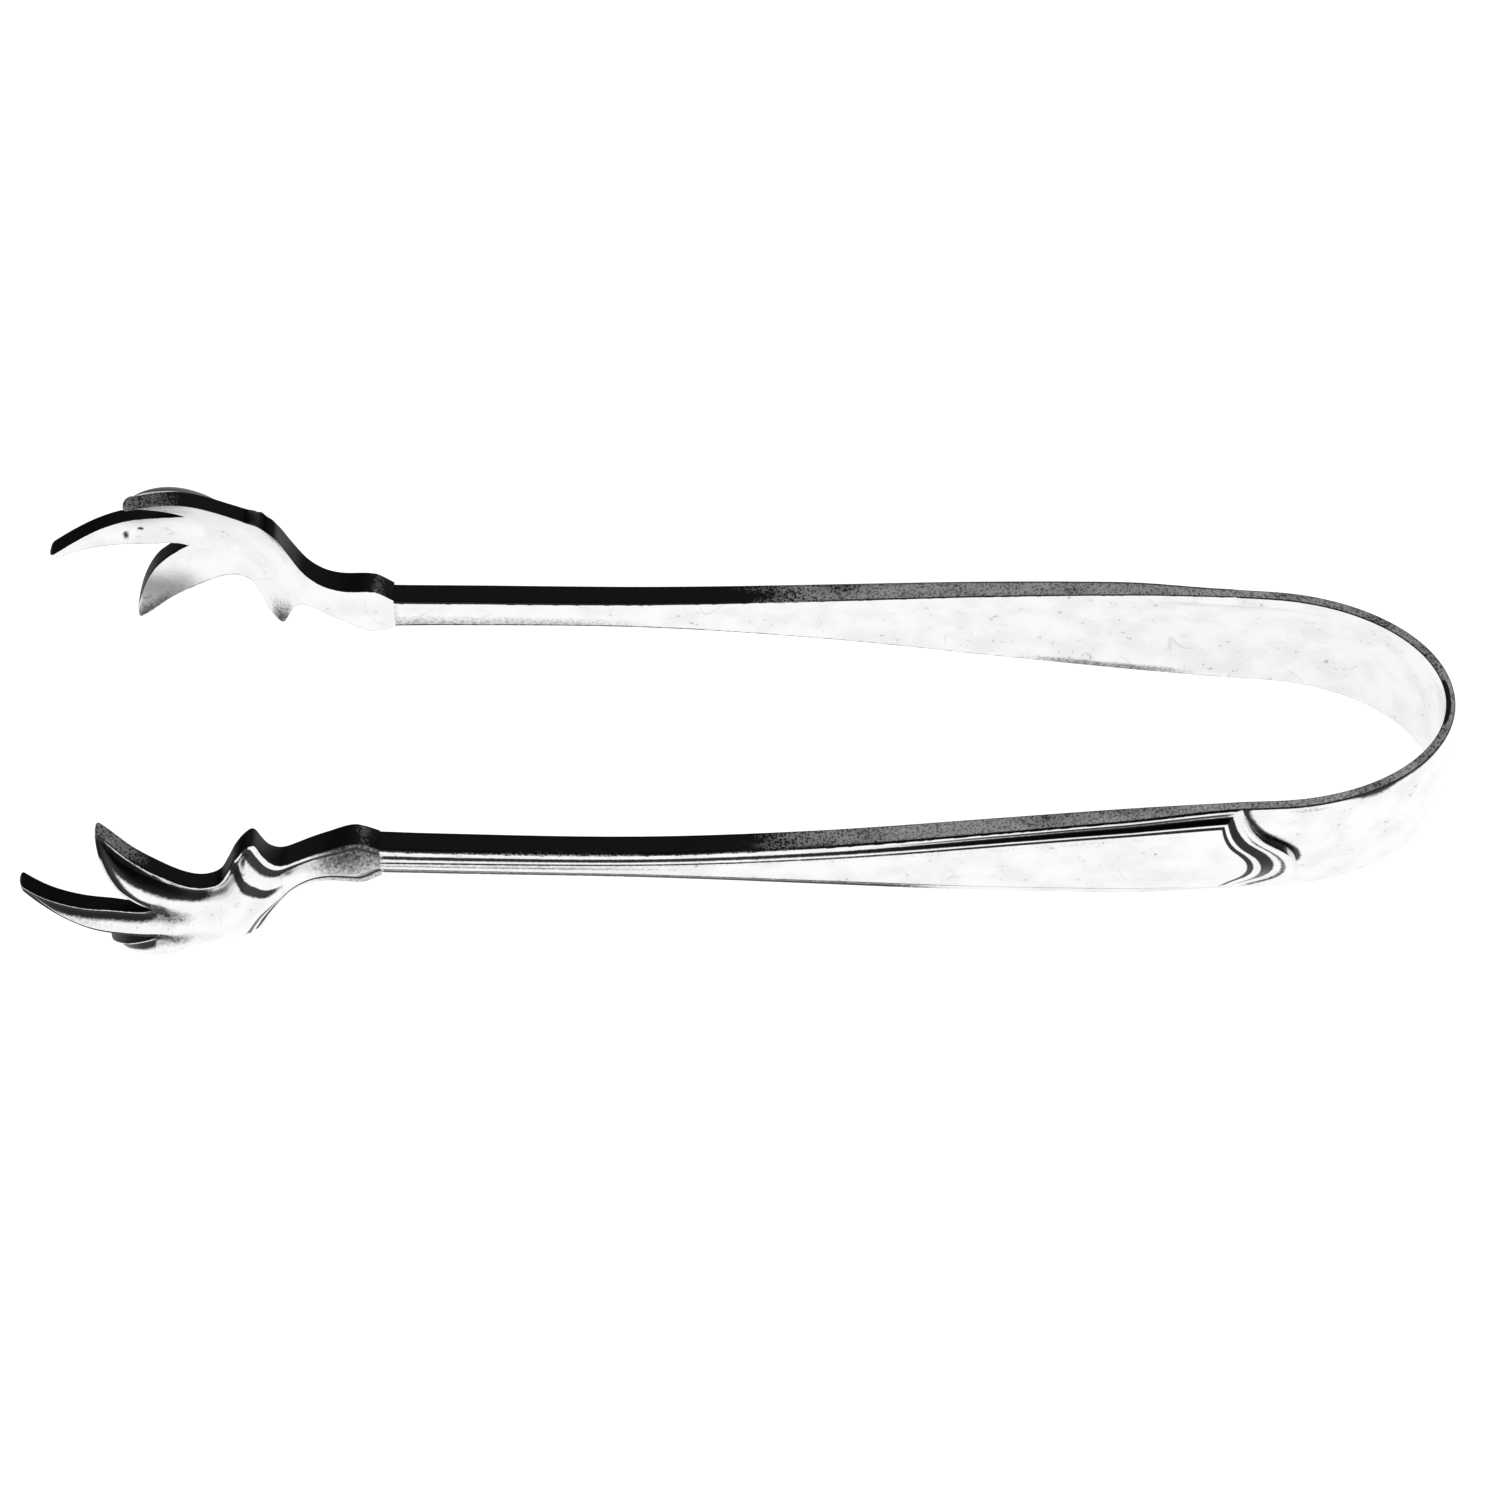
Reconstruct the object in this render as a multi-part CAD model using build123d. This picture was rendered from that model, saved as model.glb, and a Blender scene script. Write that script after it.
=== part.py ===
from build123d import *
from math import atan, cos, degrees, radians, sin, tan
import os

# Sugar tongs lying on their long edges: bow at +X, claws at -X, arms spread along Y.
# Shares give a place along a length or across a half height, from 0 to 1.

# Overall
overall_length = 139.0

# Bow, a crowned strip bent to half an ellipse
bow_height = 14.6
edge_sheet = 0.9
edge_reach = 19.1
edge_half_width = 12.5
crest_sheet = 1.1
crest_reach = 19.7
crest_half_width = 13.7
crown_sheet = 1.3
bow_end_angle = 85.0
shoulder_length = 1.8
shoulder_run = 58.5

# Arm, its faces parts of long bars of round section, bent very slightly
outer_bar_radius = 14.9
outer_bar_lift = 2.34
outer_bar_bend = 1950.0
outer_bar_run = 68.0
inner_bar_radius = 30.0
inner_bar_lift = 0.85
inner_bar_bend = 1850.0
inner_bar_run = 58.0

# Arm seen from the side, place along the arm and half height there
arm_side_shares = (
    (0.0, 0.30), (0.06, 0.288), (0.295, 0.295), (0.5, 0.46), (0.72, 0.74), (0.885, 0.925), (1.0, 1.0),
)

# Threaded border of the outer face: share of the half height and lift of each band
border_shares = (1.0, 0.963, 0.851, 0.795, 0.741, 0.72)
border_lifts = (-0.2, 0.15, -0.12, 0.15, -0.08, 0.1)

# Ogee end of the arm, corner to nose, and how far a border line at share 0 would stand back
ogee_length = 5.6
nose_run = 18.6
corner_run = 7.6
ogee_start_slope = 0.35
ogee_shares = ((0.0, 1.0), (0.12, 0.80), (0.36, 0.53), (0.70, 0.32), (0.93, 0.13), (1.0, 0.0))

# Claw seen from above, place along the claw and rise of its inner face
claw_length = 34.5
claw_rise = 9.1
claw_line_shares = (
    (0.0, 0.0), (0.10, 0.04), (0.186, 0.126), (0.255, 0.275), (0.333, 0.538), (0.423, 0.813),
    (0.504, 0.929), (0.62, 1.0), (0.739, 0.965), (0.80, 0.925), (0.864, 0.84), (0.925, 0.72), (1.0, 0.53),
)
claw_edge_at_seam = 2.4
claw_edge_at_tip = 1.7
claw_edge_taper = 1.0

# Spread of the outer talons, the rise of the claw towards its tips, and the hollow of the palm
claw_spread = 9.6
claw_lift = 1.7
claw_dish = 4.3
dish_start_share = 0.05
dish_full_share = 0.768

# Claw seen from the side, one list per edge, upper half
wrist_shares = ((0.0, 0.25), (0.06, 0.375), (0.12, 0.325), (0.183, 0.268), (0.246, 0.275))
spur_back_shares = ((0.246, 0.275), (0.287, 0.40), (0.318, 0.63), (0.334, 0.765))
spur_front_shares = ((0.334, 0.765), (0.352, 0.80), (0.385, 0.745), (0.405, 0.65), (0.417, 0.55))
palm_shares = (
    (0.417, 0.55), (0.455, 0.53), (0.49, 0.55), (0.53, 0.61), (0.60, 0.742), (0.67, 0.85), (0.73, 0.95),
    (0.768, 1.0),
)
talon_gap_shares = (
    (0.768, 1.0), (0.752, 0.77), (0.736, 0.65), (0.713, 0.53), (0.685, 0.44), (0.645, 0.335), (0.612, 0.285),
)
crotch_shares = ((0.612, 0.285), (0.615, 0.24))
middle_talon_shares = (
    (0.615, 0.24), (0.739, 0.235), (0.80, 0.206), (0.864, 0.156), (0.925, 0.099), (0.985, 0.042), (1.0, 0.0),
)

# Working sizes
claw_samples = 30
claw_rows = 9
row_reach_share = 1.3
overrun = 1.0
deep = 40.0
surface_tolerance = 0.01
tiny = 1e-6

# Places along X, from the bow to the claws, and the crests of the round bars
half_length = overall_length / 2
bow_half_height = bow_height / 2
bow_center_x = half_length - crest_reach
arm_end_x = bow_center_x - shoulder_length
seam_x = claw_length - half_length
arm_length = arm_end_x - seam_x
shoulder_apex_x = arm_end_x - shoulder_run
outer_bar_x = arm_end_x - outer_bar_run
inner_bar_x = arm_end_x - inner_bar_run
outer_bar_crest = crest_half_width + outer_bar_lift
inner_bar_crest = crest_half_width - crest_sheet + inner_bar_lift


# Height of an arc over a level apex, at another X
def arc_y(apex_x, apex_y, radius, x):
    return apex_y - radius + (radius ** 2 - (x - apex_x) ** 2) ** 0.5


# D-shaped section of the bow: half an ellipse carried on by two long arcs
def bow_section(reach, half_width, height):
    angle = radians(bow_end_angle)
    x, y = bow_center_x + reach * cos(angle), half_width * sin(angle)
    slope = atan(half_width / (reach * tan(angle)))
    radius = (x - shoulder_apex_x) / sin(slope)
    apex_y = y + radius * (1 - cos(slope))
    middle_x = (x + arm_end_x) / 2
    middle_y = arc_y(shoulder_apex_x, apex_y, radius, middle_x)
    end_y = arc_y(shoulder_apex_x, apex_y, radius, arm_end_x)
    bend = EllipticalCenterArc((bow_center_x, 0), reach, half_width, start_angle=-bow_end_angle,
                               arc_size=2 * bow_end_angle)
    upper = ThreePointArc((x, y), (middle_x, middle_y), (arm_end_x, end_y))
    lower = ThreePointArc((x, -y), (middle_x, -middle_y), (arm_end_x, -end_y))
    back = Line((arm_end_x, end_y), (arm_end_x, -end_y))
    return Pos(0, 0, height) * Face(Wire([bend, upper, back, lower]))


# Solid that bulges from its edge section at top and bottom to a crest section halfway
def crowned(edge, crest):
    return loft([bow_section(*edge, -bow_half_height), bow_section(*crest, 0), bow_section(*edge, bow_half_height)])


# Bow: the crowned strip less the ends where the arms lap into it
def make_bow():
    outside = crowned((edge_reach, edge_half_width), (crest_reach, crest_half_width))
    inside = crowned(
        (edge_reach - edge_sheet, edge_half_width - edge_sheet),
        (crest_reach - crown_sheet, crest_half_width - crest_sheet),
    )
    arm_end = arm_outline(border_shares[0])
    return outside - inside - arm_end - mirror(arm_end, about=Plane.XZ)


# Solid behind a side outline, reaching outwards from the middle plane
def behind(outline):
    return extrude(outline, deep, dir=(0, 1, 0))


# Closed face from the upper half of an outline and its mirror image
def mirrored_face(lines):
    lower = [line.mirror(Plane.XY) for line in lines]
    first, last = lines[0] @ 0, lines[-1] @ 1
    closing = [Line(first, (first.X, 0, -first.Z))]
    if abs(last.Z) > tiny:
        closing.append(Line(last, (last.X, 0, -last.Z)))
    return Face(Wire([*lines, *lower, *closing]))


# Upper line of the arm seen from the side
def arm_line(share):
    points = [
        (seam_x + along * arm_length, 0, height * share * bow_half_height) for along, height in arm_side_shares
    ]
    return Spline(*points, tangents=[(1, 0, 0), (1, 0, 0)])


# Ogee from the upper corner to the nose, for the border line at a given share
def ogee_line(share):
    corner_x = arm_end_x - (1 - share) * corner_run
    length = arm_end_x + ogee_length - (1 - share) * nose_run - corner_x
    height = share * bow_half_height
    points = [(corner_x + along * length, 0, up * height) for along, up in ogee_shares]
    return Spline(*points, tangents=[(ogee_start_slope, 0, -1), (0, 0, -1)])


# Arm outline inside the border line at a given share, cut to its ogee
def arm_outline(share):
    line = arm_line(share)
    top = line @ 1
    side = mirrored_face([line, Line(top, (half_length, 0, top.Z))])
    ogee = ogee_line(share)
    corner = ogee @ 0
    back = (seam_x, 0, bow_height)
    over = (corner.X, 0, bow_height)
    mask = mirrored_face([Line(back, over), Line(over, corner), ogee])
    return behind(side) & behind(mask)


# Long bar of round section, bent about a far upright axis
def bent_bar(radius, crest_x, crest_y, bend):
    section = Plane(origin=(crest_x, crest_y - radius, 0), z_dir=(1, 0, 0)) * Circle(radius)
    axis = Axis((crest_x, crest_y - bend, 0), (0, 0, 1))
    turn = degrees(2 * overall_length / bend)
    return revolve(section.rotate(axis, -turn / 2), axis, turn)


# Arm: hollow inside, threaded border and plain panel outside, ogee end
def make_arm():
    outlines = [arm_outline(share) for share in border_shares]
    arm = None
    for step, lift in enumerate(border_lifts):
        bar = bent_bar(outer_bar_radius, outer_bar_x, outer_bar_crest + lift, outer_bar_bend)
        band = outlines[step] & bar
        if step + 1 < len(outlines):
            band -= outlines[step + 1]
        arm = arm + band if arm else band
    return arm - bent_bar(inner_bar_radius, inner_bar_x, inner_bar_crest, inner_bar_bend)


# Point of the claw's side outline
def claw_point(along, up):
    return (seam_x - along * claw_length, 0, up * claw_spread + along * claw_lift)


# Side outline of the claw, reaching outwards
def claw_outline():
    lists = (
        wrist_shares, spur_back_shares, spur_front_shares, palm_shares, talon_gap_shares, crotch_shares,
        middle_talon_shares,
    )
    lines = [Spline(*[claw_point(along, up) for along, up in shares]) for shares in lists]
    lines += [Spline(*[claw_point(along, -up) for along, up in shares]) for shares in lists]
    along, up = wrist_shares[0]
    lines.append(Line(claw_point(along, up), claw_point(along, -up)))
    return behind(Face(Wire(lines)))


# Edge thickness of the claw at a place along it
def claw_edge(along):
    return claw_edge_at_tip + (claw_edge_at_seam - claw_edge_at_tip) * max(1 - along, 0) ** claw_edge_taper


# Spline face of the claw, dished across, offset outwards by a share of the edge thickness
def claw_face(line, offset_share):
    rows = []
    for sample in range(-1, claw_samples + 2):
        place = min(max(sample / claw_samples, 0), 1)
        point = line @ place
        tangent = line % place
        point += tangent * (overrun * (sample / claw_samples - place) * claw_samples)
        along = (seam_x - point.X) / claw_length
        normal = Vector(tangent.Y, -tangent.X, 0)
        point += normal * (claw_edge(along) * offset_share)
        dish_share = max(along - dish_start_share, 0) / (dish_full_share - dish_start_share)
        depth = claw_dish * dish_share ** 0.5
        middle_z = along * claw_lift
        heights = [row_reach_share * (2 * row / (claw_rows - 1) - 1) for row in range(claw_rows)]
        rows.append([
            (point.X, point.Y - depth * height ** 2, middle_z + height * claw_spread) for height in heights
        ])
    return Face.make_surface_from_array_of_points(rows, tol=surface_tolerance)


# Claw: the palm and talons cut from a dished sheet by the side outline
def make_claw():
    seam_y = arc_y(inner_bar_x, inner_bar_crest, inner_bar_bend, seam_x)
    points = [(seam_x - along * claw_length, seam_y + rise * claw_rise) for along, rise in claw_line_shares]
    line = Spline(*points)
    outside = extrude(claw_face(line, 0), deep, dir=(0, 1, 0))
    beyond = extrude(claw_face(line, 1), deep, dir=(0, 1, 0))
    return (claw_outline() & outside) - beyond


# Right part and its mirror image on the left, each in its own file
def both_sides(name, shape, lift):
    export_step(lift * shape, f"parts/right_{name}.step")
    export_step(lift * mirror(shape, about=Plane.XZ), f"parts/left_{name}.step")


# The lowest talons stand on the ground
claw = make_claw()
lift = Pos(0, 0, -claw.bounding_box().min.Z)
os.makedirs("parts", exist_ok=True)
export_step(lift * make_bow(), "parts/bow.step")
both_sides("arm", make_arm(), lift)
both_sides("claw", claw, lift)
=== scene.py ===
from math import acos, atan, cos, exp, log, pi, radians, sin, sqrt, tan

import bmesh
import bpy
from mathutils import Matrix, Vector
from mathutils.kdtree import KDTree
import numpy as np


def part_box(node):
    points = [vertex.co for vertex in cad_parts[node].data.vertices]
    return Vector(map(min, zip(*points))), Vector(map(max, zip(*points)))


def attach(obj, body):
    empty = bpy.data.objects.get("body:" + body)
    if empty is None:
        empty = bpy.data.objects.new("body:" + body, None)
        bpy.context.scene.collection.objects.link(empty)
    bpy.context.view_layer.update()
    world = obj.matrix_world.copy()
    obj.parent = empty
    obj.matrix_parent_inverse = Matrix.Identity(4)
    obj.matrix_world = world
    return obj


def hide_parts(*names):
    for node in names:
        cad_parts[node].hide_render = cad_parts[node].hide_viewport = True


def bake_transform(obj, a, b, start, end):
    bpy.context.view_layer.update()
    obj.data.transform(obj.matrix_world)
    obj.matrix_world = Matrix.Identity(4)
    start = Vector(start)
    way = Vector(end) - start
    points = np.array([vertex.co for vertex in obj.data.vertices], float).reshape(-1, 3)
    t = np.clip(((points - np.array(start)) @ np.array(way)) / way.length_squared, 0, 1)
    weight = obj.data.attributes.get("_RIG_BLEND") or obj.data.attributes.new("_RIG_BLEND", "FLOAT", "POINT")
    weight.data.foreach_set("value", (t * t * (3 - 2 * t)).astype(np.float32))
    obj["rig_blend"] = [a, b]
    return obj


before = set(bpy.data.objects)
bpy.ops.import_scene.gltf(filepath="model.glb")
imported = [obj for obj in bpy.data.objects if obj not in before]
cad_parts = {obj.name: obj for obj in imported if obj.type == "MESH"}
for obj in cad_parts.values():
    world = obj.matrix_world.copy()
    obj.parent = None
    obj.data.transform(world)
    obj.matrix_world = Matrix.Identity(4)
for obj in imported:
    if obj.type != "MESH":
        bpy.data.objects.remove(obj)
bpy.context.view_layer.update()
scene = bpy.context.scene


# Camera. A long lens well back, in front of the left arm and looking down at it, so that both arms
# keep nearly the same length and the inner face of the far one shows.
photo_side = 1500
sensor_width = 36.0
focal_pixels = 6200.0
pixels_per_metre = 10200.0
drop_pixels = 18.2
camera_distance = focal_pixels / pixels_per_metre
camera_drop = drop_pixels / pixels_per_metre
camera_elevation = radians(58.0)
camera_yaw = radians(1.2)
camera_roll = radians(0.25)
middle_height = sum(corner.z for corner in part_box("bow")) / 2
look_at_x = 0.0005
look_at = Vector((look_at_x, 0.0, middle_height))

across = Vector((cos(camera_yaw), sin(camera_yaw), 0.0))
level_ahead = Vector((-sin(camera_yaw), cos(camera_yaw), 0.0))
back = Vector((0.0, 0.0, sin(camera_elevation))) - level_ahead * cos(camera_elevation)
upright = back.cross(across)
camera_data = bpy.data.cameras.new("camera")
camera_data.sensor_width = sensor_width
camera_data.lens = sensor_width * focal_pixels / photo_side
camera = bpy.data.objects.new("camera", camera_data)
scene.collection.objects.link(camera)
camera_place = look_at + back * camera_distance - upright * camera_drop
camera_turn = Matrix((across, upright, back)).transposed() @ Matrix.Rotation(-camera_roll, 3, "Z")
camera.matrix_world = Matrix.Translation(camera_place) @ camera_turn.to_4x4()
scene.camera = camera


# Floor. White paper under the tongs, tipped a little so that the bow's lower edge and the lower
# talons both touch it. It glows evenly, like a light table.
talon_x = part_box("right_claw")[0].x
bow_edge_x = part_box("bow")[1].x
bow_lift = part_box("bow")[0].z
floor_reach = 3.0
paper_grey, paper_glow = (0.15, 0.15, 0.15, 1.0), (1.0, 1.0, 1.0, 1.0)


class Socket:
    """A shader value that is added, subtracted and multiplied as a number is."""

    def __init__(self, finish, socket):
        self.finish = finish
        self.socket = socket

    def __add__(self, other):
        return self.finish.math("ADD", self, other)

    def __radd__(self, other):
        return self.finish.math("ADD", other, self)

    def __sub__(self, other):
        return self.finish.math("SUBTRACT", self, other)

    def __rsub__(self, other):
        return self.finish.math("SUBTRACT", other, self)

    def __mul__(self, other):
        return self.finish.math("MULTIPLY", self, other)

    def __rmul__(self, other):
        return self.finish.math("MULTIPLY", other, self)


class Finish:
    """A material whose shader nodes are made as its values are worked out."""

    def __init__(self, name):
        self.material = bpy.data.materials.new(name)
        self.material.use_nodes = True
        self.tree = self.material.node_tree
        self.surface = self.tree.nodes["Principled BSDF"]
        self.place = self.node("ShaderNodeTexCoord", {}, {}, "Object")

    def node(self, kind, settings, inputs, output):
        node = self.tree.nodes.new(kind)
        for name, setting in settings.items():
            setattr(node, name, setting)
        for name, given in inputs.items():
            self.feed(node.inputs[name], given)
        return Socket(self, node.outputs[output])

    def feed(self, target, given):
        if isinstance(given, Socket):
            self.tree.links.new(given.socket, target)
        else:
            target.default_value = given

    def math(self, operation, first, second):
        return self.node("ShaderNodeMath", {"operation": operation}, {0: first, 1: second}, 0)

    def mix(self, share, first, second):
        """Two colours, which are sockets 6 and 7 of a Mix node, mixed into its output 2."""
        return self.node("ShaderNodeMix", {"data_type": "RGBA"}, {0: share, 6: first, 7: second}, 2)

    def spread(self, value, low, high):
        """0 below the low value and 1 above the high one, with a soft rise between them."""
        inputs = {"Value": value, "From Min": low, "From Max": high}
        return self.node("ShaderNodeMapRange", {"interpolation_type": "SMOOTHSTEP"}, inputs, "Result")

    def noise(self, scale, detail, stretch=(1.0, 1.0, 1.0)):
        place = self.node("ShaderNodeMapping", {}, {"Vector": self.place, "Scale": stretch}, "Vector")
        return self.node("ShaderNodeTexNoise", {}, {"Vector": place, "Scale": scale, "Detail": detail}, 0)


floor_mesh = bmesh.new()
bmesh.ops.create_grid(floor_mesh, x_segments=1, y_segments=1, size=floor_reach)
tip = Matrix.Rotation(-atan(bow_lift / (bow_edge_x - talon_x)), 3, "Y")
bmesh.ops.rotate(floor_mesh, cent=(0.0, 0.0, 0.0), matrix=tip, verts=floor_mesh.verts)
bmesh.ops.translate(floor_mesh, vec=(talon_x, 0.0, 0.0), verts=floor_mesh.verts)
floor_data = bpy.data.meshes.new("floor")
floor_mesh.to_mesh(floor_data)
floor_mesh.free()
floor = bpy.data.objects.new("floor", floor_data)
scene.collection.objects.link(floor)
paper = Finish("paper")
paper.surface.inputs["Base Color"].default_value = paper_grey
paper.surface.inputs["Emission Color"].default_value = paper_glow
paper.surface.inputs["Emission Strength"].default_value = 1.0
paper.surface.inputs["Roughness"].default_value = 0.9
paper.surface.inputs["Specular IOR Level"].default_value = 0.0
floor_data.materials.append(paper.material)


# Light. An even white tent lights the glowing paper, which shows no shadows. The silver mirrors the
# paper below the horizon with a low white card in front, and above them a dark room with one soft
# box, because the tent doesn't show in it.
tent_white = (1.0, 1.0, 1.0, 1.0)
tent = bpy.data.worlds.new("tent")
tent.use_nodes = True
tent.node_tree.nodes["Background"].inputs["Color"].default_value = tent_white
tent.node_tree.nodes["Background"].inputs["Strength"].default_value = 1.0
tent.cycles_visibility.glossy = False
scene.world = tent
scene.view_settings.view_transform = "Standard"


def lamp(name, width, height, brightness, place, lean):
    """A flat lamp, with its brightness as a share of the paper's own glow."""
    data = bpy.data.lights.new(name, "AREA")
    data.shape = "RECTANGLE"
    data.size = width
    data.size_y = height
    data.energy = brightness * pi * data.size * data.size_y
    hung = bpy.data.objects.new(name, data)
    hung.location = place
    hung.rotation_euler = (lean, 0.0, 0.0)
    scene.collection.objects.link(hung)


lamp("soft_box", width=1.00, height=0.60, brightness=0.42, place=(0.22, 0.33, 0.50), lean=0.0)
lamp("card", width=2.60, height=0.36, brightness=0.90, place=(0.0, -0.80, 0.18), lean=pi / 2)


# Bow. One strip of rolled silver bent to half an ellipse, crowned outside and hollow inside. It
# springs, so each half is its own piece and bends from the crown to where its arm laps in.
mm = 0.001
bow_half_height = 7.3
bow_center_x = 49.8
arm_end_x = 48.0
shoulder_apex_x = -10.5
bow_turn = radians(85.0)
edge_rounding = 0.12
# Reach along X and half width of the strip's curve, at its long edges and at its crest
outer_edge, outer_crest = (19.1, 12.5), (19.62, 13.7)
inner_edge, inner_crest = (18.2, 11.6), (18.4, 12.6)
flat_margin = 1.4
ogee_length = 5.6
# Place round the arm's ogee end, share of its length, share of the half height
ogee_table = (
    (0.0, 0.0, 1.0), (0.10, 0.052, 0.90), (0.20, 0.125, 0.79), (0.32, 0.24, 0.67), (0.45, 0.39, 0.55),
    (0.58, 0.56, 0.455), (0.70, 0.73, 0.36), (0.81, 0.87, 0.255), (0.91, 0.965, 0.13), (1.0, 1.0, 0.0),
)
bow_rows, bow_columns, wall_columns = 110, 56, 14
row_packing = 1.5
weld_distance = 0.002
crisp_angle = radians(40.0)
# Painted shade at the foot of the ogee, in the cove where the arm's end rises from the strip, between two
# heights
foot_dark, foot_fall, foot_bottom, foot_top = 1.2, 38.0, -1.8, -0.2
# Painted shade on the upper arris, and places at a share of the way from the crown to the ogee that add to
# it
arris_width, arris_dark = 0.24, 0.85
bruised_place = {"at": 0.575, "run": 0.075, "width": 0.85, "dark": 0.30}
rough_place = {"at": 0.42, "run": 0.13, "width": 0.25, "dark": 0.15}
# A band of painted shade under the arris, a line of painted shade inside it, and a dark patch on the strip's
# edge at the crown
shade_band_at, shade_band_run, shade_band_width, shade_band_dark = 0.80, 0.09, 0.6, 0.48
inside_line_width, inside_line_dark = 0.26, 0.9
crown_patch_run = 0.14
# The silver's colours, its black for tarnish and painted shade, and the noise scales and strengths of its
# marks
bright_silver, cloudy_silver = (0.86, 0.858, 0.85, 1.0), (0.77, 0.768, 0.76, 1.0)
black_tarnish_and_shade = (0.035, 0.034, 0.033, 1.0)
cloud_scale, wear_scale, smear_scale, smear_stretch = 300.0, 240.0, 420.0, (0.3, 1.0, 1.0)
grain_scale, pit_scale, speck_scale = 3200.0, 4400.0, 1500.0
hair_scale, hair_stretch, hair_width = 90.0, (1.8, 1.0, 1.2), 0.006
pit_strength, speck_strength, hair_strength = 0.50, 0.45, 0.16
ripple_strength, ripple_height = 0.12, 0.0002


def smooth(table, where):
    """Values at a place in a table, whose rows are a place and its values, on a smooth curve."""
    last = len(table) - 2
    where = min(max(where, table[0][0]), table[-1][0])
    spot = max(i for i in range(last + 1) if table[i][0] <= where)
    low, high = table[spot], table[spot + 1]
    before, after = table[max(spot - 1, 0)], table[min(spot + 2, last + 1)]
    span = high[0] - low[0]
    t = (where - low[0]) / span
    values = []
    for i in range(1, len(low)):
        rise = (high[i] - before[i]) / (high[0] - before[0]) * span
        run = (after[i] - low[i]) / (after[0] - low[0]) * span
        gap = high[i] - low[i]
        values.append(low[i] + t * (rise + t * (3 * gap - 2 * rise - run + t * (rise + run - 2 * gap))))
    return values


def bent_sheet(mesh, rows, columns, place):
    """A grid of faces laid where place says, which also gives each point's edge and its tarnish and painted
    shade.
    """
    edge = mesh.verts.layers.float["edge"]
    tarnish_and_shade = mesh.verts.layers.float["tarnish_and_shade"]
    sheet = bmesh.ops.create_grid(mesh, x_segments=rows, y_segments=columns, size=0.5)
    for vert in sheet["verts"]:
        vert.co, vert[edge], vert[tarnish_and_shade] = place(vert.co.x + 0.5, vert.co.y + 0.5)


def new_skin():
    """An empty mesh whose points keep how far each is on an edge and how dark its tarnish and painted shade
    are.
    """
    mesh = bmesh.new()
    mesh.verts.layers.float.new("edge")
    mesh.verts.layers.float.new("tarnish_and_shade")
    return mesh


def finished_piece(mesh, name, side, finish):
    """The welded skin as an object in metres, mirrored to its side, with its arrises kept crisp."""
    bmesh.ops.remove_doubles(mesh, verts=mesh.verts, dist=weld_distance)
    bmesh.ops.scale(mesh, vec=(mm, mm * side, mm), verts=mesh.verts)
    bmesh.ops.translate(mesh, vec=(0.0, 0.0, middle_height), verts=mesh.verts)
    bmesh.ops.recalc_face_normals(mesh, faces=mesh.faces)
    for face in mesh.faces:
        face.smooth = True
    for line in mesh.edges:
        line.smooth = line.calc_face_angle(pi) < crisp_angle
    data = bpy.data.meshes.new(name)
    mesh.to_mesh(data)
    mesh.free()
    data.materials.append(finish)
    piece = bpy.data.objects.new(name, data)
    scene.collection.objects.link(piece)
    return piece


def rounded_wall(share, rounding, thickness):
    """Inset from the edge and depth below the outer face, going round the edge of a sheet."""
    corner_share = 0.3
    if share < corner_share:
        angle = share / corner_share * pi / 2
        return rounding * (1 - sin(angle)), rounding * (1 - cos(angle))
    if share > 1 - corner_share:
        angle = (1 - share) / corner_share * pi / 2
        return rounding * (1 - sin(angle)), thickness - rounding * (1 - cos(angle))
    straight = (share - corner_share) / (1 - 2 * corner_share)
    return 0.0, rounding + straight * (thickness - 2 * rounding)


def progress(value, start, end):
    """How far a value has come from the start to the end, from 0 to 1."""
    return min(max((value - start) / (end - start), 0.0), 1.0)


def band(value, middle, reach):
    """1 in the middle of a band and 0 from its reach on, straight between them."""
    return max(1 - abs(value - middle) / reach, 0.0)


def patch(value, middle, reach, power=2):
    """1 in the middle of a patch, fading out softly round its reach."""
    return exp(-((value - middle) / reach) ** power)


def painted_arris_shade(round_share):
    """Thin lines of painted shade where an edge turns into the faces."""
    return progress(abs(2 * round_share - 1), 0.50, 0.75)


def ogee_x(height):
    """How far the arm's ogee end reaches at a height."""
    low, high = 0.0, 1.0
    for halving in range(20):
        middle = (low + high) / 2
        if smooth(ogee_table, middle)[1] * bow_half_height > abs(height):
            low = middle
        else:
            high = middle
    return arm_end_x + ogee_length * smooth(ogee_table, low)[0]


def bow_size(height, depth_share):
    """Reach and half width of the strip's curve at a height, from its outer face, 0, to its inner, 1."""
    crown = 1 - (height / bow_half_height) ** 2
    hollow = max(1 - (height / (bow_half_height - flat_margin)) ** 2, 0.0)
    outer = [e + (c - e) * crown for e, c in zip(outer_edge, outer_crest)]
    inner = [e + (c - e) * hollow for e, c in zip(inner_edge, inner_crest)]
    return [o + (i - o) * depth_share for o, i in zip(outer, inner)]


def bow_y(x, reach, half_width):
    """Half the distance across the bow at an X, along its ellipse and then its shoulder."""
    turn_x = bow_center_x + reach * cos(bow_turn)
    if x > turn_x:
        return half_width * sqrt(max(1 - ((x - bow_center_x) / reach) ** 2, 0.0))
    slope = atan(half_width / (reach * tan(bow_turn)))
    radius = (turn_x - shoulder_apex_x) / sin(slope)
    return half_width * sin(bow_turn) - radius * cos(slope) + sqrt(radius ** 2 - (x - shoulder_apex_x) ** 2)


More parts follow.
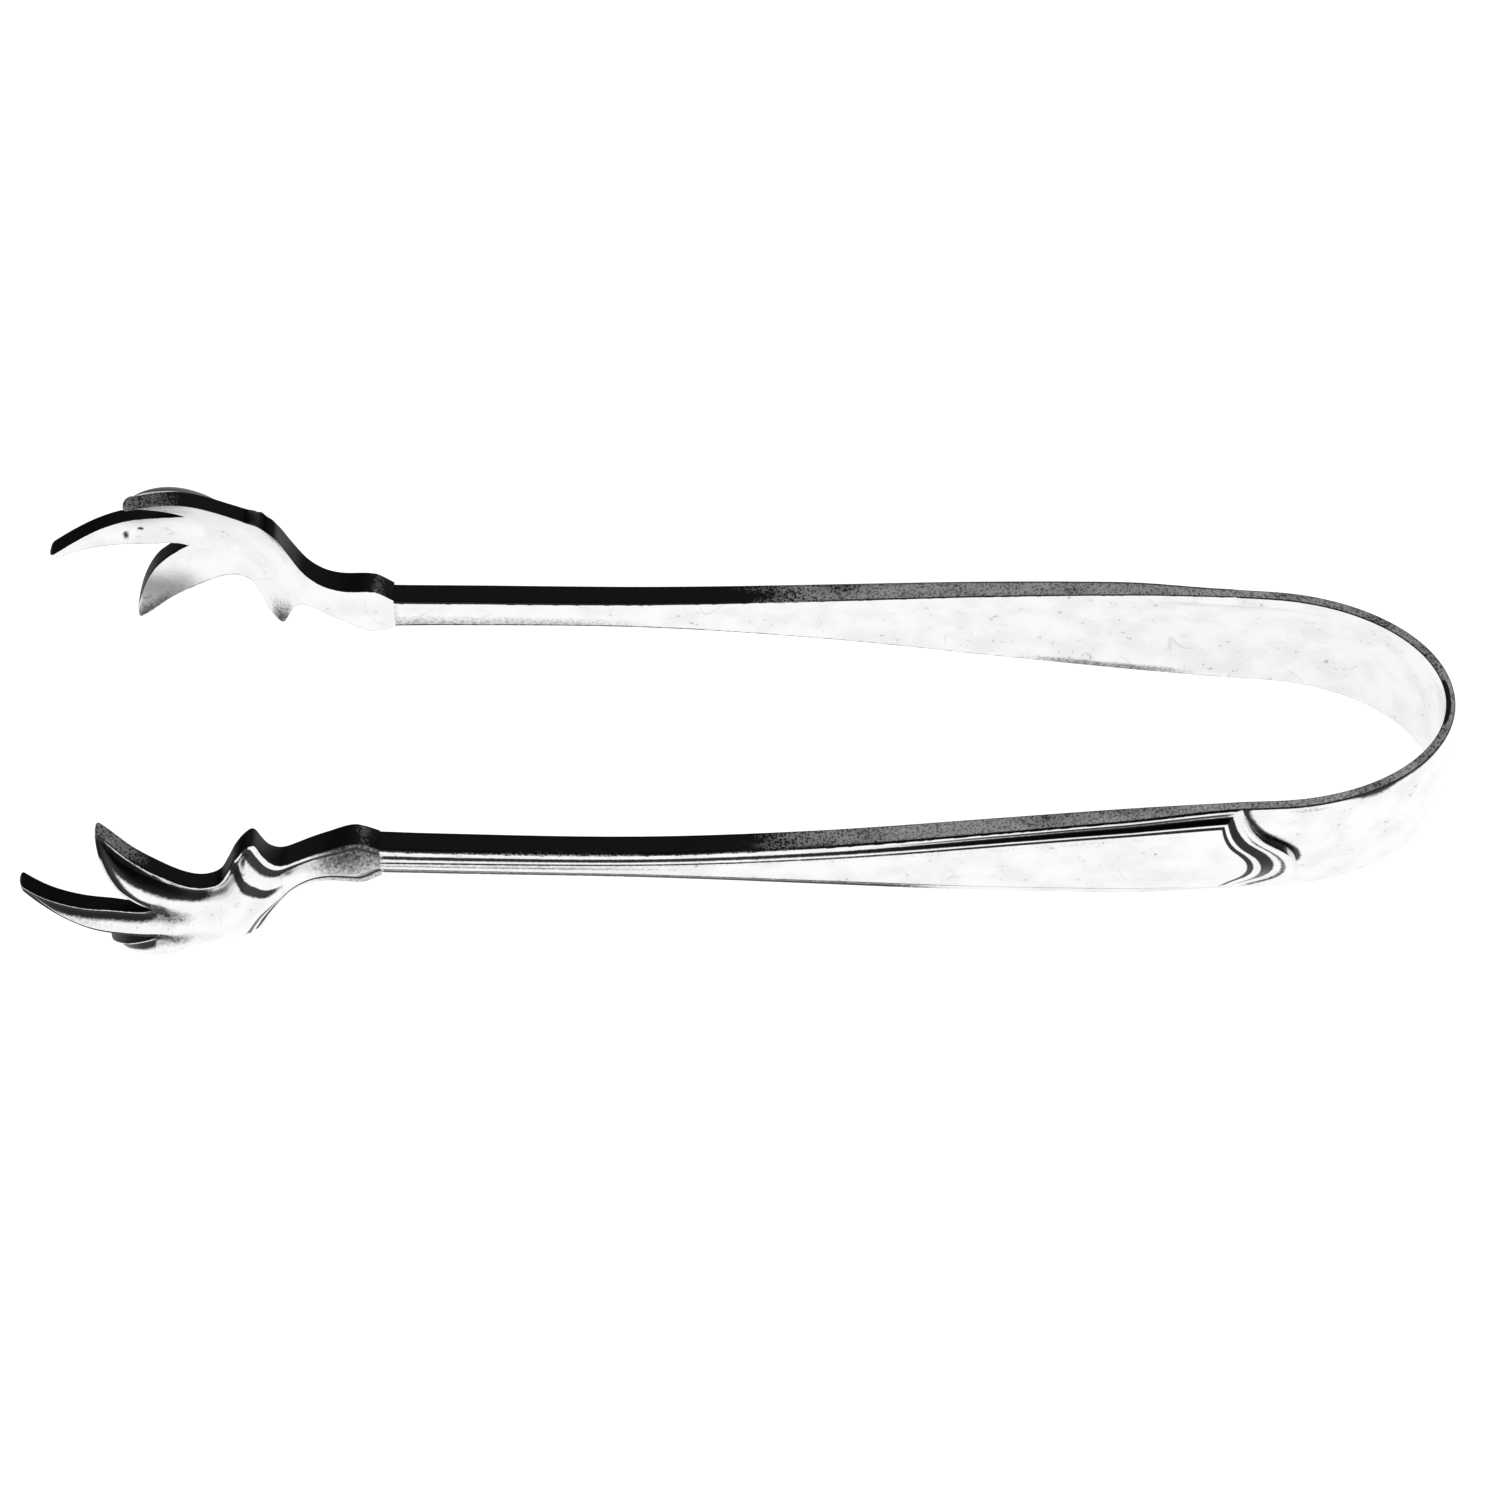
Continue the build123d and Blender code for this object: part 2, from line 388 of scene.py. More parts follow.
def bow_face(share, height, depth_share):
    """Point of the strip at a share of its way from the crown to the ogee."""
    reach, half_width = bow_size(height, depth_share)
    turn_x = bow_center_x + reach * cos(bow_turn)
    end_x = ogee_x(height)
    if end_x > turn_x:
        whole = acos((end_x - bow_center_x) / reach)
    else:
        whole = bow_turn + (turn_x - end_x) / reach
    angle = share * whole
    x = bow_center_x + reach * cos(angle) if angle <= bow_turn else turn_x - (angle - bow_turn) * reach
    return Vector((x, bow_y(x, reach, half_width), height))


def bow_painted_shade(along, height):
    """Painted shade at the foot of the arm's ogee end, on the arris and in a band under it, with one bruised
    place.
    """
    below = bow_half_height - height
    foot = max(foot_dark - (1 - along) * foot_fall, 0.0) * progress(height, foot_bottom, foot_top)
    width, dark = arris_width, arris_dark
    for worn in (bruised_place, rough_place):
        here = patch(along, worn["at"], worn["run"])
        width += worn["width"] * here
        dark += worn["dark"] * here
    film_and_shade = shade_band_dark * patch(along, shade_band_at, shade_band_run) * band(below, shade_band_width, shade_band_width)
    return min(foot + band(below, 0.0, width) * dark + film_and_shade, 1.0)


def bow_skin():
    """Skin of half the strip: two faces, two rounded long edges and two ends."""
    skin = new_skin()

    def packed(along):
        """Rows drawn together towards the ogee."""
        return 1 - (1 - along) ** row_packing

    def face_height(up):
        """Columns drawn together towards the long edges."""
        return sin((up - 0.5) * pi) * (bow_half_height - edge_rounding)

    def outer_face(along, up):
        height = face_height(up)
        return bow_face(packed(along), height, 0.0), 0.0, bow_painted_shade(packed(along), height)

    def inner_face(along, up):
        height = face_height(up)
        # A thin line of painted shade along the upper edge of the inner face
        line = inside_line_dark * band(height, bow_half_height, inside_line_width)
        return bow_face(packed(along), height, 1.0), 0.0, line

    def edge_wall(side):
        def place(along, round_share):
            sheet = outer_edge[1] - inner_edge[1]
            inset, depth = rounded_wall(round_share, edge_rounding, sheet)
            point = bow_face(packed(along), side * (bow_half_height - inset), depth / sheet)
            # Thin lines of painted shade on the arrises, and a dark patch at the crown
            crown_patch = patch(packed(along), 0.0, crown_patch_run, 4) * progress(round_share, 0.42, 0.56)
            return point, 1.0, max(painted_arris_shade(round_share), crown_patch)
        return place

    def end_wall(along):
        def place(up, depth_share):
            return bow_face(along, face_height(up), depth_share), 1.0, 0.0
        return place

    bent_sheet(skin, bow_rows, bow_columns, outer_face)
    bent_sheet(skin, bow_rows, bow_columns, inner_face)
    bent_sheet(skin, bow_rows, wall_columns, edge_wall(1))
    bent_sheet(skin, bow_rows, wall_columns, edge_wall(-1))
    bent_sheet(skin, bow_columns, 1, end_wall(0.0))
    bent_sheet(skin, bow_columns, 1, end_wall(1.0))
    return skin


def silver(name, rough):
    """Silver kept bright by polishing.

    It has cloudy wear, specks and hair scratches on the faces, a rubbed and pitted skin on the
    edges, grainy dark tarnish in the recesses, and painted shade in the same black where the skin asks for
    it.
    """
    finish = Finish(name)
    edge = finish.node("ShaderNodeAttribute", {"attribute_name": "edge"}, {}, "Fac")
    tarnish_and_shade = finish.node("ShaderNodeAttribute", {"attribute_name": "tarnish_and_shade"}, {}, "Fac")
    clouds = finish.noise(cloud_scale, 6.0)
    grain = finish.noise(grain_scale, 3.0)
    specks = finish.spread(finish.noise(speck_scale, 3.0), 0.62, 0.72) * finish.spread(clouds, 0.48, 0.62)
    pits = finish.spread(finish.noise(pit_scale, 2.0), 0.44, 0.64) * edge * pit_strength
    worn = finish.spread(finish.noise(wear_scale, 1.0), 0.56, 0.60)
    line = finish.math("ABSOLUTE", finish.noise(hair_scale, 0.0, hair_stretch) - 0.5, 0.0)
    off_edges = finish.math("MAXIMUM", 1.0 - edge, 0.0)
    hairs = (1.0 - finish.spread(line, 0.0, hair_width)) * worn * off_edges
    speckle = (grain - 0.5) * (0.5 - finish.math("MINIMUM", edge, 1.0) * 0.30)
    # Grainy black for the tarnish and the painted shade that the skin carries
    soot_and_shade = finish.spread(tarnish_and_shade + speckle, 0.20, 0.80)
    smears = finish.spread(finish.noise(smear_scale, 2.0, smear_stretch), 0.40, 0.70)
    # A mottled film on the edges, which paints shade where the edge value rises above 1
    film_and_shade = edge * (0.14 + smears * 0.34)
    marks = soot_and_shade + pits + film_and_shade + specks * speck_strength + hairs * hair_strength
    darkening = finish.node("ShaderNodeClamp", {}, {"Value": marks}, "Result")
    polished = finish.mix(finish.spread(clouds, 0.35, 0.70), bright_silver, cloudy_silver)
    finish.feed(finish.surface.inputs["Base Color"], finish.mix(darkening, polished, black_tarnish_and_shade))
    finish.surface.inputs["Metallic"].default_value = 1.0
    finish.feed(finish.surface.inputs["Roughness"], rough + clouds * 0.08 + edge * 0.14 + darkening * 0.15)
    ripple = clouds * 0.5 + grain * (edge * 0.6 + 0.15)
    relief = {"Height": ripple, "Strength": ripple_strength, "Distance": ripple_height}
    finish.feed(finish.surface.inputs["Normal"], finish.node("ShaderNodeBump", {}, relief, "Normal"))
    return finish.material


bow_silver = silver("bow_silver", 0.10)
for side, hand in ((1, "right"), (-1, "left")):
    half_bow = finished_piece(bow_skin(), f"bow_{hand}", side, bow_silver)
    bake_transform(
        half_bow, "bow", f"{hand}_side", start=(0.067, side * 0.001, 0.0), end=(0.054, side * 0.0145, 0.0)
    )
    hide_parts("bow")


# Arms. Each is struck in one piece with a threaded border and a plain panel, hollow behind, and its
# ogee end is soldered to the bow. It narrows to a thin shank where the claw is soldered on.
seam_x = -35.0
arm_length = arm_end_x - seam_x
# How far back the ogee's corners and its nose start on the panel
corner_run, nose_run = 7.2, 18.0
# Long bars of round section, bent a little, that the faces are part of
outer_bar = {"radius": 14.9, "crest": 16.04, "x": -20.0, "bend": 1950.0}
inner_bar = {"radius": 24.0, "crest": 13.45, "x": -10.0, "bend": 1850.0}
# Where the inner face turns into the bow's, and where the edge's corners start to drop to the bow
lap_start_x, lap_end_x = 34.0, 44.0
corner_drop_x, corner_drop = 36.0, 0.55
border_slope = 0.35
# Border line where the panel ends, and shares of the mesh on the panel and before the ogee
panel_level = 0.72
panel_columns_share, straight_share = 0.3, 0.78
# Place along the arm, half height of the arm, share of it that the panel takes
side_table = (
    (0.0, 0.30, 0.16), (0.06, 0.288, 0.20), (0.295, 0.295, 0.32), (0.5, 0.46, 0.52), (0.72, 0.74, 0.67),
    (0.885, 0.925, 0.71), (1.0, 1.0, 0.72),
)
# Border line, lift over the plain slope and tarnish, from the panel out to the edge
border_table = (
    (0.0, 0.0, 0.0), (0.60, 0.0, 0.0), (0.720, 0.0, 0.0), (0.732, 0.02, 0.3), (0.742, -0.02, 1.0),
    (0.762, -0.05, 1.0), (0.772, 0.0, 0.3), (0.782, 0.07, 0.0), (0.800, 0.10, 0.0), (0.812, 0.09, 0.7),
    (0.826, 0.02, 1.3), (0.846, -0.10, 1.6), (0.866, -0.20, 1.1), (0.878, -0.20, 0.5), (0.892, -0.16, 0.0),
    (0.906, -0.11, 0.0), (0.922, -0.05, 0.62), (0.940, 0.02, 0.60), (0.954, 0.07, 0.0), (0.970, 0.10, 0.0),
    (0.984, 0.07, 0.1), (1.0, -0.03, 0.4),
)
# Border lines beside the outermost groove, which is dark only round the ogee
outer_groove = (0.90, 0.96)
shade_start_x, shade_end_x = 14.0, -6.0
# The threads are cut finer towards the claw, and the inner ones run out at the seam
thread_end_x, thread_finest, groove_finest = 38.0, 0.35, 0.55
inner_thread_level, inner_thread_run = 0.82, 4.0
arm_rows, arm_columns = 250, 110


def arm_place(share, level):
    """Place and height on a border line, from the claw round the ogee to the nose."""
    ruled = max(level, panel_level)
    corner_x = arm_end_x - (1 - ruled) * corner_run
    length = (ogee_length - (1 - ruled) * (nose_run - corner_run)) * min(level / panel_level, 1.0)
    x = min(seam_x + (corner_x - seam_x) * share / straight_share, corner_x)
    half, panel = smooth(side_table, (x - seam_x) / arm_length)
    if level > panel_level:
        height = 1 - (1 - level) * (1 - panel) / (1 - panel_level)
    else:
        height = level * panel / panel_level
    height *= half * bow_half_height
    if share < straight_share:
        return x, height
    along, up = smooth(ogee_table, (share - straight_share) / (1 - straight_share))
    return corner_x + length * along, height * up


def bar_face(bar, x, height):
    """How far out a long bar of round section reaches."""
    crest = bar["crest"] - (x - bar["x"]) ** 2 / (2 * bar["bend"])
    return crest - bar["radius"] + sqrt(bar["radius"] ** 2 - height ** 2)


def shade(x):
    """Darkening of the thin end, where polish seldom reaches, from 0 at the bow to 1 at the claws; on the
    shank's walls it paints shade.
    """
    return progress(x, shade_start_x, shade_end_x)


def arm_tarnish_and_shade(x, level, groove):
    """Darkening of the outer face: tarnish in the grooves, a band of painted shade along the upper border,
    and a mottled skin on the thin end.
    """
    if outer_groove[0] < abs(level) < outer_groove[1]:
        groove *= progress(x, arm_end_x - 0.6, arm_end_x + 1.4)
    # A band of painted shade along the upper border, which stops short of the ogee
    above = 0.30 * band(level, 0.66, 0.16) * progress(x, arm_end_x - 3.0, arm_end_x - 7.0)
    below = 0.80 * progress(-level, 0.58, 0.86) * min(shade(x - 10.0) * 2, 1.0)
    middle = 0.62 * band(level, 0.20, 0.60) * shade(x + 10.0)
    return min(groove + above + below + middle, 1.0)


def ramp(value, start, end):
    """How far a value has come from the start to the end, eased at both."""
    gone = progress(value, start, end)
    return gone * gone * (3 - 2 * gone)


def inner_painted_shade(x, level):
    """Painted shade in mottled bands along the lower edge of the inner face, near the bow and on the thin
    end.
    """
    near_bow = 0.58 * ramp(-level, 0.76, 0.92) * patch(x, 36.0, 9.0, 4)
    thin_end = 0.50 * ramp(-level, 0.40, 1.0) * ramp(-x, -2.0, 20.0)
    return near_bow + thin_end


def arm_point(share, level, depth_share):
    """Point of the arm between its outer face, depth share 0, and its inner face, 1."""
    x, height = arm_place(share, abs(level))
    lift, tarnish_and_shade = smooth(border_table, abs(level))
    half, panel = smooth(side_table, (x - seam_x) / arm_length)
    half *= bow_half_height
    panel *= half
    outer = bar_face(outer_bar, x, min(height, panel)) - border_slope * max(height - panel, 0.0)
    inner = bar_face(inner_bar, x, min(height, half * (1 - flat_margin / bow_half_height)))
    inner += (bow_y(x, *bow_size(height, 1.0)) - inner) * ramp(x, lap_start_x, lap_end_x)
    fine = thread_finest + (1 - thread_finest) * progress(x, 0.0, thread_end_x)
    if abs(level) < inner_thread_level:
        fine *= min((x - seam_x) / inner_thread_run, 1.0)
    drop = corner_drop * ramp(x, corner_drop_x, arm_end_x) * ramp(height / bow_half_height, 0.5, 1.0)
    outer += lift * fine - drop
    if depth_share == 0:
        darkening = arm_tarnish_and_shade(x, level, max(tarnish_and_shade * max(fine, groove_finest), 0.0))
    else:
        darkening = inner_painted_shade(x, level)
    return Vector((x, outer + (inner - outer) * depth_share, height if level >= 0 else -height)), darkening


def arm_skin():
    """Skin of the arm: two faces, two rounded long edges that meet at the nose, and the seam."""
    skin = new_skin()

    def inset_share(share, depth_share):
        """Share of the width that the rounded edge takes, none inside where the arm meets the bow."""
        if share < straight_share:
            return edge_rounding / (bow_half_height * smooth(side_table, share / straight_share)[0])
        sharp = progress(share, straight_share, straight_share + 0.02) * (depth_share > 0.5)
        return edge_rounding / nose_run * (1 - sharp)

    def level_across(share, across, depth_share):
        """Border line of a column, few columns on the plain panel and many over the threads."""
        edge_level = 1 - inset_share(share, depth_share)
        side = 2 * across - 1
        if abs(side) < panel_columns_share:
            return side / panel_columns_share * panel_level
        level = panel_level + progress(abs(side), panel_columns_share, 1.0) * (edge_level - panel_level)
        return level if side > 0 else -level

    def face(depth_share):
        def place(share, across):
            point, tarnish_and_shade = arm_point(share, level_across(share, across, depth_share), depth_share)
            return point, 0.0, tarnish_and_shade
        return place

    def edge_wall(side):
        def place(share, round_share):
            outer, inner = arm_point(share, 1.0, 0.0)[0], arm_point(share, 1.0, 1.0)[0]
            thickness = outer.y - inner.y
            inset, depth = rounded_wall(round_share, edge_rounding, thickness)
            level = 1 - inset / edge_rounding * inset_share(share, round_share)
            point = arm_point(share, side * level, depth / thickness)[0]
            if share > straight_share:
                # Painted shade on the wall round the ogee, in the cove where the arm's end rises from the
                # bow
                around = progress(share, straight_share, straight_share + 0.05)
                foot = progress(depth / thickness, 0.24, 0.46) * (depth < 0.9 * thickness)
                near = 1.0 if side > 0 else band(point.z, 0.0, 1.6)
                return point, 1.0 - 0.8 * around, foot * around * near
            # Painted shade on the shank's walls, lighter towards the outer rounding and darkened further by
            # an edge value above 1, with thin lines of painted shade on the arrises towards the bow
            darkened = shade(point.x) * (1.0 - 0.6 * band(round_share, 0.0, 0.45))
            line = painted_arris_shade(round_share) * (1 - shade(point.x))
            return point, 1.0 + 0.9 * darkened, max(line, 0.72 * darkened)
        return place

    def seam_wall(across, depth_share):
        return arm_point(0.0, level_across(0.0, across, 0.0), depth_share)[0], 1.0, 0.0

    bent_sheet(skin, arm_rows, arm_columns, face(0.0))
    bent_sheet(skin, arm_rows, arm_columns, face(1.0))
    bent_sheet(skin, arm_rows, wall_columns, edge_wall(1))
    bent_sheet(skin, arm_rows, wall_columns, edge_wall(-1))
    bent_sheet(skin, arm_columns, 1, seam_wall)
    return skin


arm_silver = silver("arm_silver", 0.10)
for side, hand in ((1, "right"), (-1, "left")):
    arm = finished_piece(arm_skin(), f"arm_{hand}", side, arm_silver)
    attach(arm, f"{hand}_side")
    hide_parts(f"{hand}_arm")


# Claws. Each is cast as a bird's foot: a wrist, a palm with a spur on each edge, and three ridged
# talons, dished inside. It is soldered to the end of the shank.
claw_length = 34.5
claw_rise = 9.1
claw_spread = 9.6
claw_lift = 1.7
# Places along the claw: where its dish starts, where the talons part and where the outer ones end
claw_dish, dish_start = 4.3, 0.05
crotch, crotch_share = 0.612, 0.2625
talon_end = 0.768
seam_y = bar_face(inner_bar, seam_x, 0.0)
# Place along the claw, share of its rise
claw_table = (
    (0.0, 0.0), (0.10, 0.04), (0.186, 0.126), (0.255, 0.275), (0.333, 0.538), (0.423, 0.813),
    (0.504, 0.929), (0.62, 1.0), (0.739, 0.965), (0.80, 0.925), (0.864, 0.84), (0.925, 0.72), (1.0, 0.53),
)
# Place along the claw, shares of its spread: the outer edge, the gap's edge on the outer talons, and
# the middle talon's edge
palm_table = (
    (0.0, 0.25), (0.02, 0.305), (0.04, 0.352), (0.06, 0.375), (0.082, 0.368), (0.11, 0.335),
    (0.143, 0.295), (0.183, 0.268), (0.214, 0.26), (0.24, 0.27), (0.257, 0.29), (0.272, 0.33),
    (0.287, 0.40), (0.303, 0.50), (0.318, 0.63), (0.332, 0.755), (0.345, 0.80), (0.367, 0.785),
    (0.388, 0.73), (0.405, 0.64), (0.425, 0.55), (0.455, 0.53), (0.49, 0.55), (0.53, 0.61),
    (0.60, 0.742), (0.67, 0.85), (0.73, 0.95), (0.768, 1.0),
)
gap_table = (
    (0.612, 0.2625), (0.645, 0.335), (0.685, 0.44), (0.713, 0.53), (0.736, 0.64), (0.752, 0.75),
    (0.768, 0.905),
)
middle_table = (
    (0.612, 0.2625), (0.66, 0.243), (0.739, 0.235), (0.80, 0.206), (0.864, 0.156), (0.925, 0.099),
    (0.975, 0.060), (1.0, 0.047),
)
# Place along the claw, thickness of its middle and edges, width of its rim
body_table = (
    (0.0, 2.15, 1.95, 2.1), (0.10, 2.35, 2.00, 2.1), (0.25, 1.75, 1.45, 1.6), (0.42, 1.15, 1.40, 1.1),
    (0.62, 1.05, 1.60, 1.0), (0.80, 1.35, 1.65, 1.0), (1.0, 1.40, 1.55, 0.8),
)
# Distance from the edge in widths of the rim, height of the rim and of the body inside it, tarnish
rim_table = (
    (0.0, 0.02, 0.0), (0.10, 0.11, 0.0), (0.20, 0.12, 0.0), (0.30, 0.07, 0.2), (0.38, 0.01, 0.9),
    (0.48, 0.0, 0.9), (0.60, 0.05, 0.2), (0.75, 0.16, 0.0), (1.1, 0.42, 0.0), (1.5, 0.62, 0.0),
    (2.1, 0.80, 0.0), (3.0, 0.90, 0.0), (4.5, 0.95, 0.0), (9.0, 0.97, 0.0),
)
# Distance from the back of the spur, height of its scroll and the tarnish beside it
scroll_table = (
    (0.0, 0.0, 0.0), (0.2, 0.03, 0.0), (0.48, 0.02, 0.1), (0.64, -0.03, 1.0), (0.94, -0.04, 1.0),
    (1.12, 0.0, 0.3), (1.30, 0.05, 0.0), (1.60, 0.05, 0.0), (1.78, 0.0, 0.3), (1.94, -0.05, 1.0),
    (2.38, -0.05, 1.0), (2.56, 0.0, 0.3), (2.80, 0.0, 0.0), (9.0, 0.0, 0.0),
)
# Distance from an edge, and darkening beside it: tarnish and painted shade on the talons' flanks towards a
# gap, a dark line along the lower edge of the middle talon, and painted shade behind the outer edge of the
# palm and the outer talons
flank_table = ((0.0, 0.0), (0.22, 0.05), (0.32, 1.0), (0.85, 0.95), (1.20, 0.5), (1.75, 0.0), (40.0, 0.0))
line_table = ((0.0, 0.5), (0.10, 0.9), (0.50, 0.9), (0.75, 0.5), (1.00, 0.0), (40.0, 0.0))
ridge_table = ((0.0, 0.0), (0.34, 0.0), (0.46, 0.95), (1.05, 0.95), (1.35, 0.45), (1.70, 0.0), (40.0, 0.0))
# Dark marks inside the middle talon: place along the claw and run, place across and run, darkness
talon_marks = ((0.789, 0.010, -0.06, 0.085, 0.85), (0.745, 0.011, 0.03, 0.032, 1.0))
# Valleys that run from the crotches back into the palm: place along the claw, share of its spread
valley_table = ((0.40, 0.10), (0.48, 0.16), (0.56, 0.225), (0.612, 0.2625))
valley_start, valley_depth, valley_width = 0.40, 0.20, 1.5
spur_back_start, spur_back_end = 0.15, 0.335
tip_length, tip_taper = 0.5, 0.15
outer_tip_radius, middle_tip_radius = 1.2, 0.45
# How softly two near edges are rounded into one, and how much further the outer ones count
edge_blend, off_center = 0.30, 0.8
claw_rows, claw_columns, claw_wall_columns, claw_seam_columns = 230, 28, 12, 36


def palm_edge(along):
    return smooth(palm_table, along)[0]


def gap_edge(along):
    return smooth(gap_table, along)[0]


def middle_edge(along):
    return smooth(middle_table, along)[0]


def side_view(along, share):
    """A place on the claw as seen from the side, to measure distances between."""
    return along * claw_length, share * claw_spread, 0.0


def edge_tree(table, start, end, steps=600):
    """Points along an edge of the claw as seen from the side, to measure distances from."""
    tree = KDTree(steps + 1)
    for i in range(steps + 1):
        along = start + (end - start) * i / steps
        tree.insert(side_view(along, smooth(table, along)[0]), i)
    tree.balance()
    return tree


palm_tree = edge_tree(palm_table, 0.0, talon_end)
gap_tree = edge_tree(gap_table, crotch, talon_end)
middle_tree = edge_tree(middle_table, crotch, 1.0)
spur_back_tree = edge_tree(palm_table, spur_back_start, spur_back_end)
valley_tree = edge_tree(valley_table, valley_start, crotch)


def from_edges(along, share):
    """Distance to the nearest edge of the claw, rounded off where two edges are as near.

    On the outer talons the outer edge counts as further, which sets their ridges nearer to it.
    """
    places = side_view(along, share), side_view(along, -share)
    outer_weight = 1 + off_center * progress(along, 0.52, 0.66)
    near = 0.0
    for tree, weight in ((palm_tree, outer_weight), (gap_tree, 1.0), (middle_tree, 1.0)):
        near += sum(exp(-tree.find(place)[2] * weight / edge_blend) for place in places)
    return max(-edge_blend * log(near), 0.0)


def claw_tarnish_and_shade(along, share, valley_share):
    """Tarnish where polish doesn't reach on the wrist, tarnish and painted shade beside the gaps, and
    painted shade behind the crotches and the outer edges.
    """
    here = side_view(along, abs(share))
    to_palm, to_gap, to_middle = (tree.find(here)[2] for tree in (palm_tree, gap_tree, middle_tree))
    wrist = (0.46 + 0.22 * ramp(share / palm_edge(along), -0.3, 0.7)) * (1 - ramp(along, 0.12, 0.27))
    # Painted shade in the valley behind each crotch
    tongue = 0.75 * valley_share * ramp(along, 0.42, 0.60)
    darkened = 0.36 * ramp(along, 0.64, 0.80) + 0.06 * ramp(along, 0.80, 1.0)
    # Painted shade on the steep flank behind the outer edge of the palm and the outer talons
    ridge = smooth(ridge_table, to_palm / (1.0 + 0.25 * ramp(along, 0.52, 0.74)))[0]
    ridge *= ramp(along, 0.40, 0.50)
    # Beside the gaps tarnish and painted shade, and a dark line along the middle talon's lower edge
    if to_gap < to_middle:
        flank = smooth(flank_table, to_gap)[0] * ramp(along, crotch - 0.01, crotch + 0.02)
    else:
        flank = smooth(flank_table if share > 0 else line_table, to_middle)[0]
        flank *= ramp(along, crotch - 0.05, crotch + 0.02)
    return max(wrist, tongue, darkened, ridge, flank)


def blemish(along, share):
    """Dark marks inside: two on the middle talon, and smudges along the outer talons and the spurs."""
    marks = 0.0
    for at, run, across, width, dark in talon_marks:
        marks += dark * patch(along, at, run) * patch(share, across, width)
    out = abs(share) / palm_edge(along)
    talon = 0.55 * ramp(out, 0.78, 0.98) * ramp(along, 0.60, 0.70)
    spur = 0.70 * ramp(out, 0.35, 1.0) * patch(along, 0.340, 0.040)
    return max(marks, talon, spur)


def claw_relief(along, share):
    """Thickness of the claw with its rim, ridges and scrolls, the tarnish in them, and the tarnish and
    painted shade of its faces.
    """
    middle, edge, width = smooth(body_table, along)
    aside = min(abs(share) / 0.5, 1.0)
    rim, darkening = smooth(rim_table, from_edges(along, share) / width)
    here = side_view(along, abs(share))
    height, scroll = smooth(scroll_table, spur_back_tree.find(here)[2])
    # The scroll fades out before and behind the spur and towards the middle
    fade = progress(along, 0.20, 0.28) * progress(along, 0.47, 0.41) * progress(abs(share), 0.04, 0.14)
    groove = patch(valley_tree.find(here)[2], 0.0, valley_width)
    thickness = middle + (edge - middle) * aside ** 2 + rim * width ** 0.5 + height * fade
    thickness -= valley_depth * groove * ramp(along, 0.44, 0.54) * (1 - ramp(along, 0.54, crotch))
    soot_and_shade = max(darkening, 0.0) * (0.9 - 0.6 * ramp(along, 0.30, 0.55)) + max(scroll, 0.0) * fade
    return thickness, min(max(soot_and_shade, claw_tarnish_and_shade(along, share, groove)), 1.0)


def claw_point(along, share, out):
    """Point at a place along the claw and a share of its spread, a distance out from its inner face."""
    step = 0.002
    rise = smooth(claw_table, along)[0]
    slope = (smooth(claw_table, along + step)[0] - smooth(claw_table, along - step)[0]) * claw_rise
    run = (min(along + step, 1.0) - max(along - step, 0.0)) * claw_length
    depth = claw_dish * sqrt(max(along - dish_start, 0.0) / (talon_end - dish_start)) * share ** 2
    y = seam_y + rise * claw_rise - depth + out * sqrt(1 + (slope / run) ** 2)
    return Vector((seam_x - along * claw_length, y, share * claw_spread + along * claw_lift))


